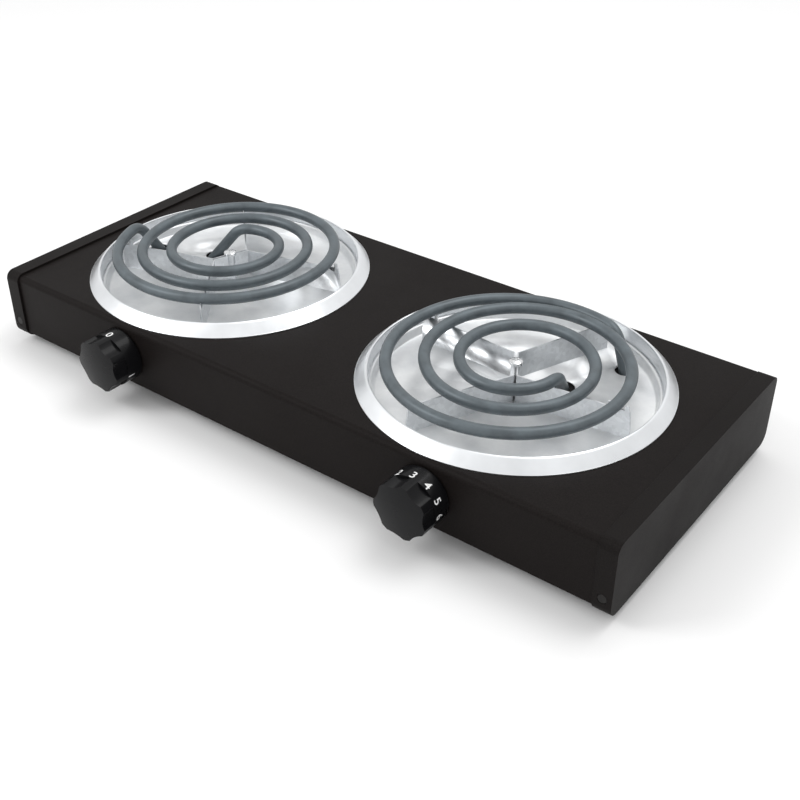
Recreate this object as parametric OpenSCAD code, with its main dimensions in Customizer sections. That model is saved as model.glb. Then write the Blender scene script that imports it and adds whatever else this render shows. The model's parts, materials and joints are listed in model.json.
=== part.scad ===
// Double electric hot plate: folded sheet housing with two spiral tube burners,
// drip bowls, dial thermostats and the parts inside. Millimetres, +Z up.
// The origin is on the resting plane, in the middle of the whole outline.
// The front, with the dials, faces -Y.

/* [Housing] */
// Overall length over both end caps
body_length = 482; // [440:1:620]
// Depth of the housing from front panel to back panel
body_depth = 198; // [196:1:260]
// Height of the front panel
panel_height = 44; // [43:1:70]
// Thickness of the folded sheet
sheet = 1; // [0.8:0.1:1.6]
// Radius of the fold between top and front
front_fold = 4; // [1.5:0.5:5]
// Radius of the fold between top and back
back_fold = 1.5; // [1.2:0.1:2]
// Width of the flange that is turned in at the bottom
bottom_flange = 14; // [12:1:20]

/* [End caps] */
// Width of the cap's lip along the housing
cap_lip = 11.5; // [8:0.5:16]
// How far the lip stands out from the housing
cap_proud = 1.5; // [1:0.1:2.5]
// Thickness of the cap's end wall
cap_wall = 2; // [1.5:0.1:3]
// How far the cap reaches below the front panel
cap_drop = 4.5; // [3:0.5:8]
// Radius of the cap's two upper corners
cap_radius = 6; // [3:0.5:6]
// Radius of the cap's two lower corners
cap_foot_radius = 8; // [3:0.5:9]
// Outside diameter of the small screws in caps and base
small_screw_d = 3; // [2.5:0.5:4]

/* [Feet] */
// How far the feet reach below the caps
foot_reach = 6; // [4:0.5:12]
// Diameter of a foot where it meets the base
foot_d = 20; // [14:1:26]
// Distance of a foot's axis from the end of the housing
foot_from_end = 40; // [30:1:60]
// Distance of a foot's axis from the front or back panel
foot_from_side = 26; // [20:1:40]

/* [Burners] */
// Distance between the two burner centres
burner_spacing = 236.5; // [215:0.5:280]
// Offset of the burner pair along the length
burner_shift = -3.4; // [-6:0.1:6]
// Offset of the burners towards the back
burner_back = 1.3; // [0:0.1:1.4]
// Outer radius of the trim ring
ring_r = 97.5; // [90:0.5:97.5]
// Radius of the trim ring's crest
crest_r = 90; // [84:0.5:91]
// Height of the crest above the housing
crest_h = 6.7; // [4:0.1:8]
// Depth of the bowl's floor below the housing's top
bowl_depth = 8; // [6:0.5:12]
// Radius of the bowl's flat floor
bowl_floor_r = 86.5; // [80:0.5:86.5]
// Thickness of ring, bowl and bracket sheet
thin_sheet = 0.8; // [0.6:0.1:1]

/* [Coils] */
// Diameter of the heating tube
tube_d = 7.4; // [6:0.1:8]
// Height of the tube's centre above the housing's top
coil_height = 14.7; // [14.6:0.1:18]
// Radii of the right coil's arcs, from the outside in
right_coil_radii = [76.5, 73, 61, 50.5, 40, 30.5];
// Radii of the left coil's arcs, from the outside in
left_coil_radii = [75.5, 67, 57.5, 47.5, 37.5, 29.5];
// Sides of the tube's round section
tube_sides = 18; // [12:2:20]
// Largest turn between two sections of the tube
tube_step = 7.5; // [7:0.5:12]
// Radius of the bend where the tube turns down
end_bend_r = 14; // [10:1:18]
// Clearance round the tube in the bowl's holes
tube_clearance = 1.4; // [0.6:0.2:2]

/* [Brackets] */
// Height of the bracket strips that carry the coil
strip_height = 18.5; // [16:0.5:18.5]
// Length of the stretch where the two strips run side by side
strip_waist = 26; // [20:1:34]
// Gap between the two strips there
strip_gap = 1.2; // [0.8:0.1:2]
// Diameter of the centre screw
centre_screw_d = 4; // [3:0.5:5]

/* [Dials] */
// Outer radius of the knob
knob_r = 18; // [14:0.5:19]
// How far the knob reaches in front of the panel
knob_reach = 24.5; // [20:0.5:30]
// Gap between knob and panel
knob_gap = 1; // [0.5:0.1:2]
// Height of the knob's crowned face
knob_crown = 2; // [1:0.5:3]
// Number of finger flutes
flute_count = 7; // [5:1:10]
// Depth of a finger flute
flute_depth = 2; // [1:0.5:3]
// Distance of the dial axis below the housing's top
dial_drop = 22.3; // [21:0.1:24]
// Position of the left dial along the length
left_dial_x = -125.5; // [-160:0.5:-90]
// Position of the right dial along the length
right_dial_x = 120; // [90:0.5:160]
// Diameter of the thermostat's shaft
shaft_d = 6; // [5:0.5:8]
// Radial running clearance of the shaft
shaft_clearance = 0.05; // [0.02:0.01:0.1]

/* [Inside] */
// Height of a ceramic terminal block
block_height = 12; // [10:1:14]
// Width of a ceramic terminal block
block_width = 18; // [16:1:24]
// Diameter of the internal leads
lead_d = 2.4; // [1.6:0.2:3]
// How far the cord gland stands out at the back
gland_reach = 5; // [3:0.5:8]
// Diameter of the cord hole in the gland
gland_bore_d = 8; // [6:0.5:10]

/* [Hidden] */
$fn = 64;

// Small distance that lets a cut run past the face it opens
cut = 1;
// Play of a screw in its hole, in the diameter's half
hole_play = 0.2;
// Play between a thread and its nut, in the same sense
thread_play = 0.05;
// Heights of the main planes
base_bottom = foot_reach + cap_drop - sheet;
// The base plate stays clear of the caps' rounded corners
base_inset = cap_foot_radius + 0.5;
panel_bottom = base_bottom + sheet;
top_z = panel_bottom + panel_height;
// The housing's middle lies behind the origin by half the difference of what stands out
body_y = (knob_reach - gland_reach) / 2;
front_y = body_y - body_depth / 2;
back_y = body_y + body_depth / 2;
shell_end = body_length / 2 - cap_wall;
burner_y = body_y + burner_back;
dial_z = top_z - dial_drop;

// Bowl and ring; the bowl's wall stays clear of the ledge it hangs in
bowl_gap = 0.4;
bowl_play = 0.3;
bowl_rim_r = crest_r - thin_sheet - bowl_gap;
ledge_z = -3.5;
ledge_width = 1.2;
bowl_wall_r = bowl_rim_r - ledge_width;
opening_r = crest_r + 1.5;
floor_z = top_z - bowl_depth;

// Coil ends: angle where the tube leaves the spiral, tilt of the bend, turn of the bend
right_coil_joint = 240;
right_coil_start = 72;
right_coil_stop = 1071;
right_coil_centre = [0.7, -4.4];
right_outer_bend = [85, 62];
right_inner_bend = [61, 50];
left_coil_joint = 390;
left_coil_start = 197;
left_coil_stop = 1198;
left_coil_centre = [-4.3, 1.6];
left_outer_bend = [73, 62];
left_inner_bend = [89, 50];

// Bracket strips: directions of the arms and of the waist in the right burner
arm_angles_a = [170, 252];
arm_angles_b = [357, 75];
waist_angle = 121;
left_bracket_turn = 130;
arm_reach = bowl_floor_r - 6;
arm_end_slope = 1.5;
lug_height = 3.2;
lug_width = 2.4;
lug_gap = 0.5;
screw_head_d = 8.6;
screw_head_h = 3;
nut_af = 7;
nut_h = 3.2;

// Terminal blocks and bridges
block_below_bowl = 1.7;
block_top = floor_z - thin_sheet - block_below_bowl;
block_bottom = block_top - block_height;
block_end = 9;
leg_depth = 8;
leg_clearance = 0.2;
block_sink = 4;
bridge_sheet = 1.2;
bridge_width = 24;
bridge_half = 62;
bridge_foot = 12;
wing_root = 8;

// Thermostats
bush_r = 5;
bush_reach = 6;
panel_nut_af = 14;
panel_nut_h = 2.5;
panel_hole_r = bush_r + 0.2;
therm_w = 34;
therm_h = 22;
therm_d = 28;
shaft_inside = 14;
tab_size = [6, 1, 6];
socket_end = knob_reach - knob_crown - 3;
knob_recess_r = 10;
knob_recess_d = 8;
flute_r = 16;
flute_start = 12.5;
flat_cut = 1.5;
// Places of the base plate's screws, in parts of the housing's half length
base_screw_steps = [-0.9, -0.3, 0.3, 0.9];
// Rise of the centre screw's head over the strips, and its cross slot
screw_seat = 0.2;
cross_slot = [5.2, 1, 2];
// A lead's corner ball and the mains terminals, in parts of the lead and of the block's length
corner_ball = 1.2;
terminals = [0.36, 0.16];

// Mains block and gland
mains_size = [34, 18, 14];
mains_centre = [0, back_y - 46, 0];
earth_at = [0, back_y - 72, 0];
gland_z = panel_bottom + panel_height / 3;
gland_flange_r = 9;
gland_body_r = 6.5;
gland_inside = 12;
gland_nut_h = 4;

// Feet, screws and vents
foot_taper = 2;
foot_recess_d = 9;
foot_recess_h = 5;
head_h = 2;
head_d = 5.6;
screw_len = 8;
vent_count = 9;
vent_pitch = 12;
vent_size = [4, 50];
lead_rise = 6;
lead_turn = 4;
lead_touch = 0.1;
cap_sink = 1;

// side is -1 for the left burner and 1 for the right burner
function burner_x(side) = burner_shift + side * burner_spacing / 2;
function dial_x(side) = side < 0 ? left_dial_x : right_dial_x;
// Turn of the flutes at rest; the right knob stands at a setting, the left one at zero
function flute_phase(side) = side < 0 ? 6 : 4;
function dir(a) = [cos(a), sin(a)];
function radii(side) = side < 0 ? left_coil_radii : right_coil_radii;
function joint(side) = side < 0 ? left_coil_joint : right_coil_joint;
function coil_start(side) = side < 0 ? left_coil_start : right_coil_start;
function coil_stop(side) = side < 0 ? left_coil_stop : right_coil_stop;

// Centre of arc k: each arc starts where the one before ends, in the same direction
function arc_centre(side, k) = k == 0
    ? (side < 0 ? left_coil_centre : right_coil_centre)
    : arc_centre(side, k - 1)
        + (radii(side)[k - 1] - radii(side)[k]) * dir(joint(side) + 180 * (k - 1));
function arc_from(side, k) = k == 0 ? coil_start(side) : joint(side) + 180 * (k - 1);
function arc_to(side, k) = k == len(radii(side)) - 1 ? coil_stop(side) : joint(side) + 180 * k;

// An end of the tube: [plan position, heading, bend, hand], hand 1 curls left and -1 right
function inner_end(side) = let (k = len(radii(side)) - 1, a = coil_stop(side))
    [arc_centre(side, k) + radii(side)[k] * dir(a), a + 90,
     side < 0 ? left_inner_bend : right_inner_bend, 1];
function outer_end(side) = let (a = coil_start(side))
    [arc_centre(side, 0) + radii(side)[0] * dir(a), a - 90,
     side < 0 ? left_outer_bend : right_outer_bend, -1];

// Straight length of an end's leg down to a given drop below the coil's plane
function leg_length(e, drop) =
    (drop / sin(e[2][0]) - end_bend_r * (1 - cos(e[2][1]))) / sin(e[2][1]);
// Plan position of the leg at that drop
function leg_at(e, drop) = let (
    s = leg_length(e, drop), f = e[2][1], t = dir(e[1]), n = cos(e[2][0]) * dir(e[1] + 90 * e[3]))
    e[0] + (end_bend_r * sin(f) + s * cos(f)) * t + (end_bend_r * (1 - cos(f)) + s * sin(f)) * n;
function drop_to(z) = top_z + coil_height - z;

// Hole for a small screw, from z_low to z_high, and the screw itself with its head on top of z_high
module screw_hole(z_low, z_high) {
    translate([0, 0, z_low]) cylinder(d = small_screw_d + 2 * hole_play, h = z_high - z_low, $fn = 32);
}

module small_screw(z_low, z_high) {
    translate([0, 0, z_low]) cylinder(d = small_screw_d, h = z_high - z_low + head_h / 2, $fn = 32);
    translate([0, 0, z_high]) cylinder(d = head_d, h = head_h, $fn = 32);
}

module at_burner(side) {
    translate([burner_x(side), burner_y, 0]) children();
}

// Moves to a dial, with the local Z axis pointing out of the front panel
module at_dial(side) {
    translate([dial_x(side), front_y, dial_z]) rotate([90, 0, 0]) children();
}

// ---- Housing ----

// Rectangle that stands on Y = low, with its two upper corners rounded
module rounded_top(width, low, high, left_r, right_r) {
    translate([-width / 2, low]) square([width, high - low - max(left_r, right_r)]);
    translate([-width / 2 + left_r, low]) square([width - left_r - right_r, high - low]);
    translate([-width / 2, low]) square([left_r, high - low - left_r]);
    translate([width / 2 - right_r, low]) square([right_r, high - low - right_r]);
    translate([-width / 2 + left_r, high - left_r]) circle(r = left_r);
    translate([width / 2 - right_r, high - right_r]) circle(r = right_r);
}

// Extrudes a Y-Z section along X between two ends, centred on the housing's depth
module along_x(x_from, x_to) {
    translate([x_from, body_y, 0]) rotate([90, 0, 90]) linear_extrude(x_to - x_from) children();
}

module shell_outline() {
    rounded_top(body_depth, panel_bottom, top_z, front_fold, back_fold);
}

module shell_section() {
    difference() {
        shell_outline();
        rounded_top(body_depth - 2 * sheet, panel_bottom + sheet, top_z - sheet,
                    front_fold - sheet, back_fold - sheet);
        translate([-body_depth / 2 + bottom_flange, panel_bottom - cut])
            square([body_depth - 2 * bottom_flange, sheet + 2 * cut]);
    }
}

module for_feet() {
    for (sx = [-1, 1], sy = [-1, 1])
        translate([sx * (shell_end - foot_from_end), body_y + sy * (body_depth / 2 - foot_from_side), 0])
            children();
}

// Screws that hold the base plate to the turned-in flanges
module for_base_screws() {
    for (sx = base_screw_steps, sy = [-1, 1])
        translate([sx * shell_end, body_y + sy * (body_depth / 2 - (base_inset + bottom_flange) / 2), 0])
            children();
}

// Screws through the lips of the caps, low on the front and back
module for_cap_screws() {
    for (sx = [-1, 1], sy = [-1, 1])
        translate([sx * (body_length / 2 - cap_lip / 2), body_y + sy * (body_depth / 2 + cap_proud),
                   panel_bottom + cap_foot_radius])
            rotate([-sy * 90, 0, 0]) children();
}

module housing_shell() {
    color([0.13, 0.115, 0.11])
    difference() {
        along_x(-shell_end, shell_end) shell_section();
        for (side = [-1, 1]) {
            at_burner(side) translate([0, 0, top_z - 3 * sheet])
                cylinder(r = opening_r, h = 6 * sheet, $fn = 128);
            at_dial(side) translate([0, 0, -3 * sheet]) cylinder(r = panel_hole_r, h = 6 * sheet);
        }
        translate([0, back_y, gland_z]) rotate([90, 0, 0])
            cylinder(r = gland_body_r + hole_play, h = 6 * sheet, center = true);
        for_cap_screws() screw_hole(-screw_len, screw_len);
        for_base_screws() screw_hole(panel_bottom - cut, panel_bottom + sheet + cut);
    }
}

module base_plate() {
    color([0.30, 0.30, 0.31])
    difference() {
        translate([-shell_end, front_y + base_inset, base_bottom])
            cube([2 * shell_end, body_depth - 2 * base_inset, sheet]);
        for (side = [-1, 1], k = [0 : vent_count - 1])
            translate([burner_x(side) + (k - (vent_count - 1) / 2) * vent_pitch, burner_y, base_bottom - cut])
                vent();
        for_feet() screw_hole(base_bottom - cut, panel_bottom + cut);
        for_base_screws() screw_hole(base_bottom - cut, panel_bottom + cut);
        for (p = [mains_centre, earth_at]) translate(p) screw_hole(base_bottom - cut, panel_bottom + cut);
    }
}

// Slot with round ends, through the base plate
module vent() {
    run = vent_size[1] - vent_size[0];
    translate([-vent_size[0] / 2, -run / 2, 0]) cube([vent_size[0], run, sheet + 2 * cut]);
    for (s = [-1, 1]) translate([0, s * run / 2, 0]) cylinder(d = vent_size[0], h = sheet + 2 * cut);
}

// Rectangle with four rounded corners, from low to high
module rounded_box_section(width, low, high, r_low, r_high) {
    translate([-width / 2, low + r_low]) square([width, high - low - r_low - r_high]);
    translate([-width / 2 + r_low, low]) square([width - 2 * r_low, r_low + cut]);
    translate([-width / 2 + r_high, high - r_high - cut]) square([width - 2 * r_high, r_high + cut]);
    for (s = [-1, 1]) {
        translate([s * (width / 2 - r_low), low + r_low]) circle(r = r_low);
        translate([s * (width / 2 - r_high), high - r_high]) circle(r = r_high);
    }
}

module end_cap(side) {
    outer_x = side * body_length / 2;
    lip_x = outer_x - side * cap_lip;
    wall_x = outer_x - side * cap_wall;
    color([0.15, 0.135, 0.13])
    difference() {
        along_x(min(outer_x, lip_x), max(outer_x, lip_x))
            rounded_box_section(body_depth + 2 * cap_proud, foot_reach, top_z + cap_proud,
                                cap_foot_radius, cap_radius);
        along_x(min(wall_x, lip_x - side * cut), max(wall_x, lip_x - side * cut)) {
            shell_outline();
            translate([-body_depth / 2 + cap_foot_radius, foot_reach + cap_proud])
                square([body_depth - 2 * cap_foot_radius, cap_drop]);
        }
        for_cap_screws() {
            screw_hole(-screw_len, screw_len);
            translate([0, 0, -cap_sink]) cylinder(d = head_d + 2 * hole_play, h = cap_sink + cut);
        }
    }
}

// ---- Burners ----

module trim_ring(side) {
    color([0.86, 0.88, 0.90])
    at_burner(side) translate([0, 0, top_z]) rotate_extrude($fn = 128)
        polygon([
            [ring_r, 0], [ring_r, thin_sheet], [crest_r, crest_h + thin_sheet],
            [crest_r - thin_sheet, crest_h], [crest_r - thin_sheet, ledge_z + thin_sheet],
            [bowl_wall_r, ledge_z + thin_sheet],
            [bowl_wall_r, ledge_z], [crest_r, ledge_z], [crest_r, crest_h - thin_sheet],
            [ring_r - thin_sheet, 0]
        ]);
}

// Round hole in the bowl's floor, wide enough for a leg that passes through it at a slant
module leg_hole(e) {
    a = leg_at(e, drop_to(floor_z + tube_d / 4));
    b = leg_at(e, drop_to(floor_z - thin_sheet - tube_d / 4));
    translate([(a[0] + b[0]) / 2, (a[1] + b[1]) / 2, floor_z - thin_sheet - cut])
        cylinder(r = tube_d / 2 + tube_clearance + norm(b - a) / 2, h = thin_sheet + 2 * cut);
}

module drip_bowl(side) {
    rim = ledge_z + thin_sheet;
    color([0.80, 0.82, 0.85])
    at_burner(side)
    difference() {
        translate([0, 0, top_z]) rotate_extrude($fn = 128)
            polygon([
                [0, -bowl_depth - thin_sheet], [bowl_floor_r, -bowl_depth - thin_sheet],
                [bowl_wall_r - bowl_play, rim - thin_sheet / 2], [bowl_wall_r - bowl_play, rim],
                [bowl_rim_r, rim],
                [bowl_rim_r, rim + thin_sheet],
                [bowl_wall_r - thin_sheet, rim + thin_sheet], [bowl_floor_r - thin_sheet, -bowl_depth],
                [0, -bowl_depth]
            ]);
        for (e = [inner_end(side), outer_end(side)]) leg_hole(e);
        translate([0, 0, floor_z - thin_sheet - cut])
            cylinder(d = centre_screw_d + 2 * hole_play, h = thin_sheet + 2 * cut);
    }
}

// Sections of the tube: [centre, first axis, second axis], the axes spanning the section.
// A section in the spiral has its axes pointing to the arc's centre and down.
function arc_section(side, k, a) =
    [concat(arc_centre(side, k) + radii(side)[k] * dir(a), 0), concat(-dir(a), 0), [0, 0, -1]];

// Section in an end bend after a turn f, moved a length s along the tube
function bend_section(e, f, s) = let (
    tilt = e[2][0],
    inward = concat(dir(e[1] + 90 * e[3]), 0),
    t = concat(dir(e[1]), 0),
    n = cos(tilt) * inward + sin(tilt) * [0, 0, -1],
    m = cos(tilt) * [0, 0, -1] - sin(tilt) * inward,
    turned = cos(f) * n - sin(f) * t,
    ahead = cos(f) * t + sin(f) * n)
    [concat(e[0], 0) + end_bend_r * (sin(f) * t + (1 - cos(f)) * n) + s * ahead,
     cos(tilt) * turned - sin(tilt) * m, sin(tilt) * turned + cos(tilt) * m];

function bend_steps(e) = ceil(e[2][1] / tube_step);
function coil_sections(side, drop) = let (inner = inner_end(side), outer = outer_end(side)) concat(
    [bend_section(outer, outer[2][1], leg_length(outer, drop))],
    [for (i = [bend_steps(outer) : -1 : 1]) bend_section(outer, outer[2][1] * i / bend_steps(outer), 0)],
    [for (k = [0 : len(radii(side)) - 1])
        let (n = ceil((arc_to(side, k) - arc_from(side, k)) / tube_step))
        for (i = [0 : n - 1])
            arc_section(side, k, arc_from(side, k) + (arc_to(side, k) - arc_from(side, k)) * i / n)],
    [for (i = [0 : bend_steps(inner)]) bend_section(inner, inner[2][1] * i / bend_steps(inner), 0)],
    [bend_section(inner, inner[2][1], leg_length(inner, drop))]);

// Closed skin over a row of sections
module skin(sections) {
    n = len(sections);
    points = [for (c = sections, i = [0 : tube_sides - 1]) let (a = 360 * i / tube_sides)
        c[0] + tube_d / 2 * (cos(a) * c[1] + sin(a) * c[2])];
    sides = [for (k = [0 : n - 2], i = [0 : tube_sides - 1]) let (j = (i + 1) % tube_sides)
        [k * tube_sides + i, (k + 1) * tube_sides + i, (k + 1) * tube_sides + j, k * tube_sides + j]];
    first = [for (i = [0 : tube_sides - 1]) i];
    last = [for (i = [tube_sides - 1 : -1 : 0]) (n - 1) * tube_sides + i];
    polyhedron(points, concat(sides, [first, last]));
}

module heating_coil(side) {
    color([0.42, 0.47, 0.49])
    at_burner(side) translate([0, 0, top_z + coil_height])
        skin(coil_sections(side, drop_to(block_top - leg_depth)));
}

// Hole in a terminal block for the leg at one end of the tube
module leg_bore(e) {
    deep = drop_to(block_top - leg_depth);
    translate([e[0][0], e[0][1], 0]) rotate([0, 0, e[1] - 90]) mirror([e[3] < 0 ? 1 : 0, 0, 0])
        rotate([0, -e[2][0], 0]) translate([-end_bend_r, 0, 0]) rotate([0, 0, e[2][1]])
            translate([end_bend_r, 0, 0]) rotate([-90, 0, 0])
                cylinder(d = tube_d + 2 * leg_clearance, h = leg_length(e, deep) + leg_clearance);
}

// Where an arm leaves the waist of its strip, and where it ends. hand is the strip's side of the screw.
function strip_offset(hand) = hand * (strip_gap + thin_sheet) / 2;
function arm_root(a, hand) = (cos(a - waist_angle) > 0 ? 1 : -1) * strip_waist / 2 * dir(waist_angle)
    + strip_offset(hand) * dir(waist_angle + 90);
function arm_end(a) = arm_reach * dir(a);

// One strip in plan: two arms joined by the waist, with a half sleeve round the screw
module strip_plan(arms, hand) {
    sleeve_r = centre_screw_d / 2 + hole_play;
    side_y = hand > 0 ? strip_gap / 2 : -strip_gap / 2 - 2 * sleeve_r;
    rotate([0, 0, waist_angle]) difference() {
        union() {
            translate([-strip_waist / 2, strip_offset(hand) - thin_sheet / 2])
                square([strip_waist, thin_sheet]);
            intersection() {
                circle(r = sleeve_r + thin_sheet);
                translate([-2 * sleeve_r, side_y]) square([4 * sleeve_r, 2 * sleeve_r]);
            }
        }
        circle(r = sleeve_r);
    }
    for (a = arms) {
        from = arm_root(a, hand);
        run = arm_end(a) - from;
        translate(from) circle(d = thin_sheet, $fn = 24);
        translate(from) rotate([0, 0, atan2(run[1], run[0])])
            translate([0, -thin_sheet / 2]) square([norm(run), thin_sheet]);
    }
}

// Radius at which turn n of the coil, counted from the outermost, passes over the direction a
function pass_radius(side, a, n = 0) = let (
    turned = a + 360 * (n + ceil((coil_start(side) - a) / 360)),
    k = turned < joint(side) ? 0 : 1 + floor((turned - joint(side)) / 180),
    c = arc_centre(side, k),
    along = c * dir(a))
    along + sqrt(radii(side)[k] * radii(side)[k] - c * c + along * along);

// Tabs that stand up from an arm on both sides of the outermost turn, where there is room for them
module arm_lugs(side, a, turn, hand) {
    end = arm_end(a);
    from = arm_root(a, hand);
    along = atan2(end[1] - from[1], end[0] - from[0]);
    pass = pass_radius(side, a + turn);
    room = [pass - pass_radius(side, a + turn, 1) - tube_d / 2,
            arm_reach - arm_end_slope - pass + lug_gap];
    for (s = [-1, 1])
        if (room[(s + 1) / 2] > tube_d / 2 + 2 * lug_gap + lug_width) translate(end) rotate([0, 0, along])
            translate([pass + s * (tube_d / 2 + lug_gap + lug_width / 2) - arm_reach - lug_width / 2,
                       -thin_sheet / 2, strip_height - lug_height])
                cube([lug_width, thin_sheet, 2 * lug_height]);
}

module bracket_strip(side, arms, hand) {
    turn = side < 0 ? left_bracket_turn : 0;
    color([0.70, 0.72, 0.74])
    at_burner(side) rotate([0, 0, turn]) translate([0, 0, floor_z]) {
        intersection() {
            linear_extrude(strip_height) strip_plan(arms, hand);
            rotate_extrude($fn = 96) polygon([
                [0, -cut], [arm_reach, -cut], [arm_reach, bowl_depth],
                [arm_reach - arm_end_slope, strip_height + cut],
                [0, strip_height + cut]]);
        }
        for (a = arms) arm_lugs(side, a, turn, hand);
    }
}

module centre_screw(side) {
    head_z = floor_z + strip_height + screw_seat;
    color([0.82, 0.83, 0.84])
    at_burner(side) {
        difference() {
            intersection() {
                translate([0, 0, head_z]) cylinder(d = screw_head_d, h = screw_head_h);
                translate([0, 0, head_z + screw_head_h - screw_head_d]) sphere(r = screw_head_d);
            }
            for (a = [0, 90]) translate([0, 0, head_z + screw_head_h - 1]) rotate([0, 0, a + 30])
                translate([-cross_slot[0] / 2, -cross_slot[1] / 2, 0]) cube(cross_slot);
        }
        translate([0, 0, block_bottom - bridge_sheet - nut_h - 2])
            cylinder(d = centre_screw_d, h = head_z + cut / 2 - block_bottom + bridge_sheet + nut_h + 2);
    }
}

module hex(af, h) {
    cylinder(d = af / cos(30), h = h, $fn = 6);
}

module centre_nut(side) {
    color([0.72, 0.72, 0.70])
    at_burner(side) translate([0, 0, block_bottom - bridge_sheet - nut_h]) difference() {
        hex(nut_af, nut_h);
        translate([0, 0, -cut]) cylinder(d = centre_screw_d + 2 * thread_play, h = nut_h + 2 * cut);
    }
}

// Plan frame of a terminal block: from the inner leg towards the outer leg
function block_a(side) = leg_at(inner_end(side), drop_to(block_top - leg_depth / 2));
function block_b(side) = leg_at(outer_end(side), drop_to(block_top - leg_depth / 2));
function block_angle(side) = let (d = block_b(side) - block_a(side)) atan2(d[1], d[0]);
function block_mid(side) = (block_a(side) + block_b(side)) / 2;
function block_length(side) = norm(block_b(side) - block_a(side)) + 2 * block_end;

module at_block(side) {
    at_burner(side) translate([block_mid(side)[0], block_mid(side)[1], 0])
        rotate([0, 0, block_angle(side)]) children();
}

module burner_bridge(side) {
    foot_z = panel_bottom;
    color([0.62, 0.63, 0.64])
    difference() {
        union() {
            at_burner(side) {
                translate([-bridge_half, -bridge_width / 2, block_bottom - bridge_sheet])
                    cube([2 * bridge_half, bridge_width, bridge_sheet]);
                for (s = [-1, 1]) {
                    translate([s * (bridge_half - bridge_sheet / 2), 0, (foot_z + block_bottom) / 2])
                        cube([bridge_sheet, bridge_width, block_bottom - foot_z], center = true);
                    translate([s * (bridge_half + bridge_foot / 2 - bridge_sheet), 0,
                               foot_z + bridge_sheet / 2])
                        cube([bridge_foot, bridge_width, bridge_sheet], center = true);
                }
            }
            at_block(side)
                translate([-block_length(side) / 2 - wing_root, -block_width / 2,
                           block_bottom - bridge_sheet])
                    cube([block_length(side) + wing_root, block_width, bridge_sheet]);
        }
        at_burner(side) translate([0, 0, block_bottom - bridge_sheet - cut])
            cylinder(d = centre_screw_d + 2 * hole_play, h = bridge_sheet + 2 * cut);
        at_block(side) screw_hole(block_bottom - bridge_sheet - cut, block_bottom + cut);
    }
}

module terminal_block(side) {
    color([0.20, 0.19, 0.18])
    difference() {
        at_block(side) translate([-block_length(side) / 2, -block_width / 2, block_bottom])
            cube([block_length(side), block_width, block_height]);
        at_burner(side) translate([0, 0, top_z + coil_height])
            for (e = [inner_end(side), outer_end(side)]) leg_bore(e);
        at_block(side) {
            screw_hole(block_bottom - cut, block_top + cut);
            translate([0, 0, block_top - block_sink]) cylinder(d = head_d + 1, h = block_sink + cut);
        }
    }
}

module block_screws() {
    color([0.72, 0.72, 0.70])
    for (side = [-1, 1]) at_block(side)
        small_screw(block_bottom - bridge_sheet - head_h, block_top - block_sink);
}

// ---- Dials ----

module thermostat(side) {
    color([0.55, 0.50, 0.42])
    at_dial(side) difference() {
        union() {
            translate([-therm_w / 2, -therm_h / 2, -sheet - therm_d]) cube([therm_w, therm_h, therm_d]);
            translate([0, 0, -sheet - cut]) cylinder(r = bush_r, h = sheet + cut + bush_reach);
            for (s = [-1, 1]) translate([s * therm_w / 4, 0, -sheet - therm_d - tab_size[2] / 2 + cut / 2])
                cube([tab_size[0], tab_size[1], tab_size[2] + cut], center = true);
        }
        translate([0, 0, -shaft_inside])
            cylinder(d = shaft_d + 2 * shaft_clearance, h = shaft_inside + bush_reach + cut);
    }
}

module shaft(side) {
    length = shaft_inside + socket_end - hole_play;
    color([0.75, 0.75, 0.73])
    at_dial(side) difference() {
        translate([0, 0, -shaft_inside]) cylinder(d = shaft_d, h = length);
        translate([-shaft_d, shaft_d / 2 - flat_cut, bush_reach + cut]) cube([2 * shaft_d, shaft_d, length]);
    }
}

module panel_nut(side) {
    color([0.72, 0.72, 0.70])
    at_dial(side) difference() {
        hex(panel_nut_af, panel_nut_h);
        translate([0, 0, -cut]) cylinder(r = bush_r + thread_play, h = panel_nut_h + 2 * cut);
    }
}

module knob(side) {
    crown_r = (knob_r * knob_r + knob_crown * knob_crown) / (2 * knob_crown);
    flat_y = shaft_d / 2 - flat_cut + thread_play;
    color([0.06, 0.06, 0.065])
    at_dial(side) difference() {
        intersection() {
            translate([0, 0, knob_gap]) cylinder(r = knob_r, h = knob_reach - knob_gap, $fn = 96);
            translate([0, 0, knob_reach - crown_r]) sphere(r = crown_r, $fn = 96);
        }
        for (k = [0 : flute_count - 1]) rotate([0, 0, flute_phase(side) + k * 360 / flute_count])
            translate([knob_r + flute_r - flute_depth, 0, flute_start]) cylinder(r = flute_r, h = knob_reach);
        cylinder(r = knob_recess_r, h = knob_recess_d);
        difference() {
            cylinder(d = shaft_d + 2 * thread_play, h = socket_end);
            translate([-shaft_d, flat_y, knob_gap]) cube([2 * shaft_d, shaft_d, knob_reach]);
        }
    }
}

// ---- Wiring, gland, feet and fasteners ----

// Round lead along straight stretches, with a ball at each corner
module lead(points) {
    for (k = [0 : len(points) - 2]) {
        d = points[k + 1] - points[k];
        translate(points[k]) rotate([0, acos(d[2] / norm(d)), atan2(d[1], d[0])])
            cylinder(d = lead_d, h = norm(d), $fn = 16);
        if (k > 0) translate(points[k]) sphere(d = lead_d * corner_ball, $fn = 16);
    }
}

// Point beside a terminal block's back long side: end is -1 at the inner leg and 1 at the outer leg
function block_side(side, end, away) = let (
    a = block_angle(side),
    face = cos(a) > 0 ? 1 : -1,
    m = block_mid(side) + end * (block_length(side) / 2 - block_end) * dir(a)
        + face * (block_width / 2 + away) * dir(a + 90))
    [burner_x(side) + m[0], burner_y + m[1], block_bottom + block_height / 2];

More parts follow.
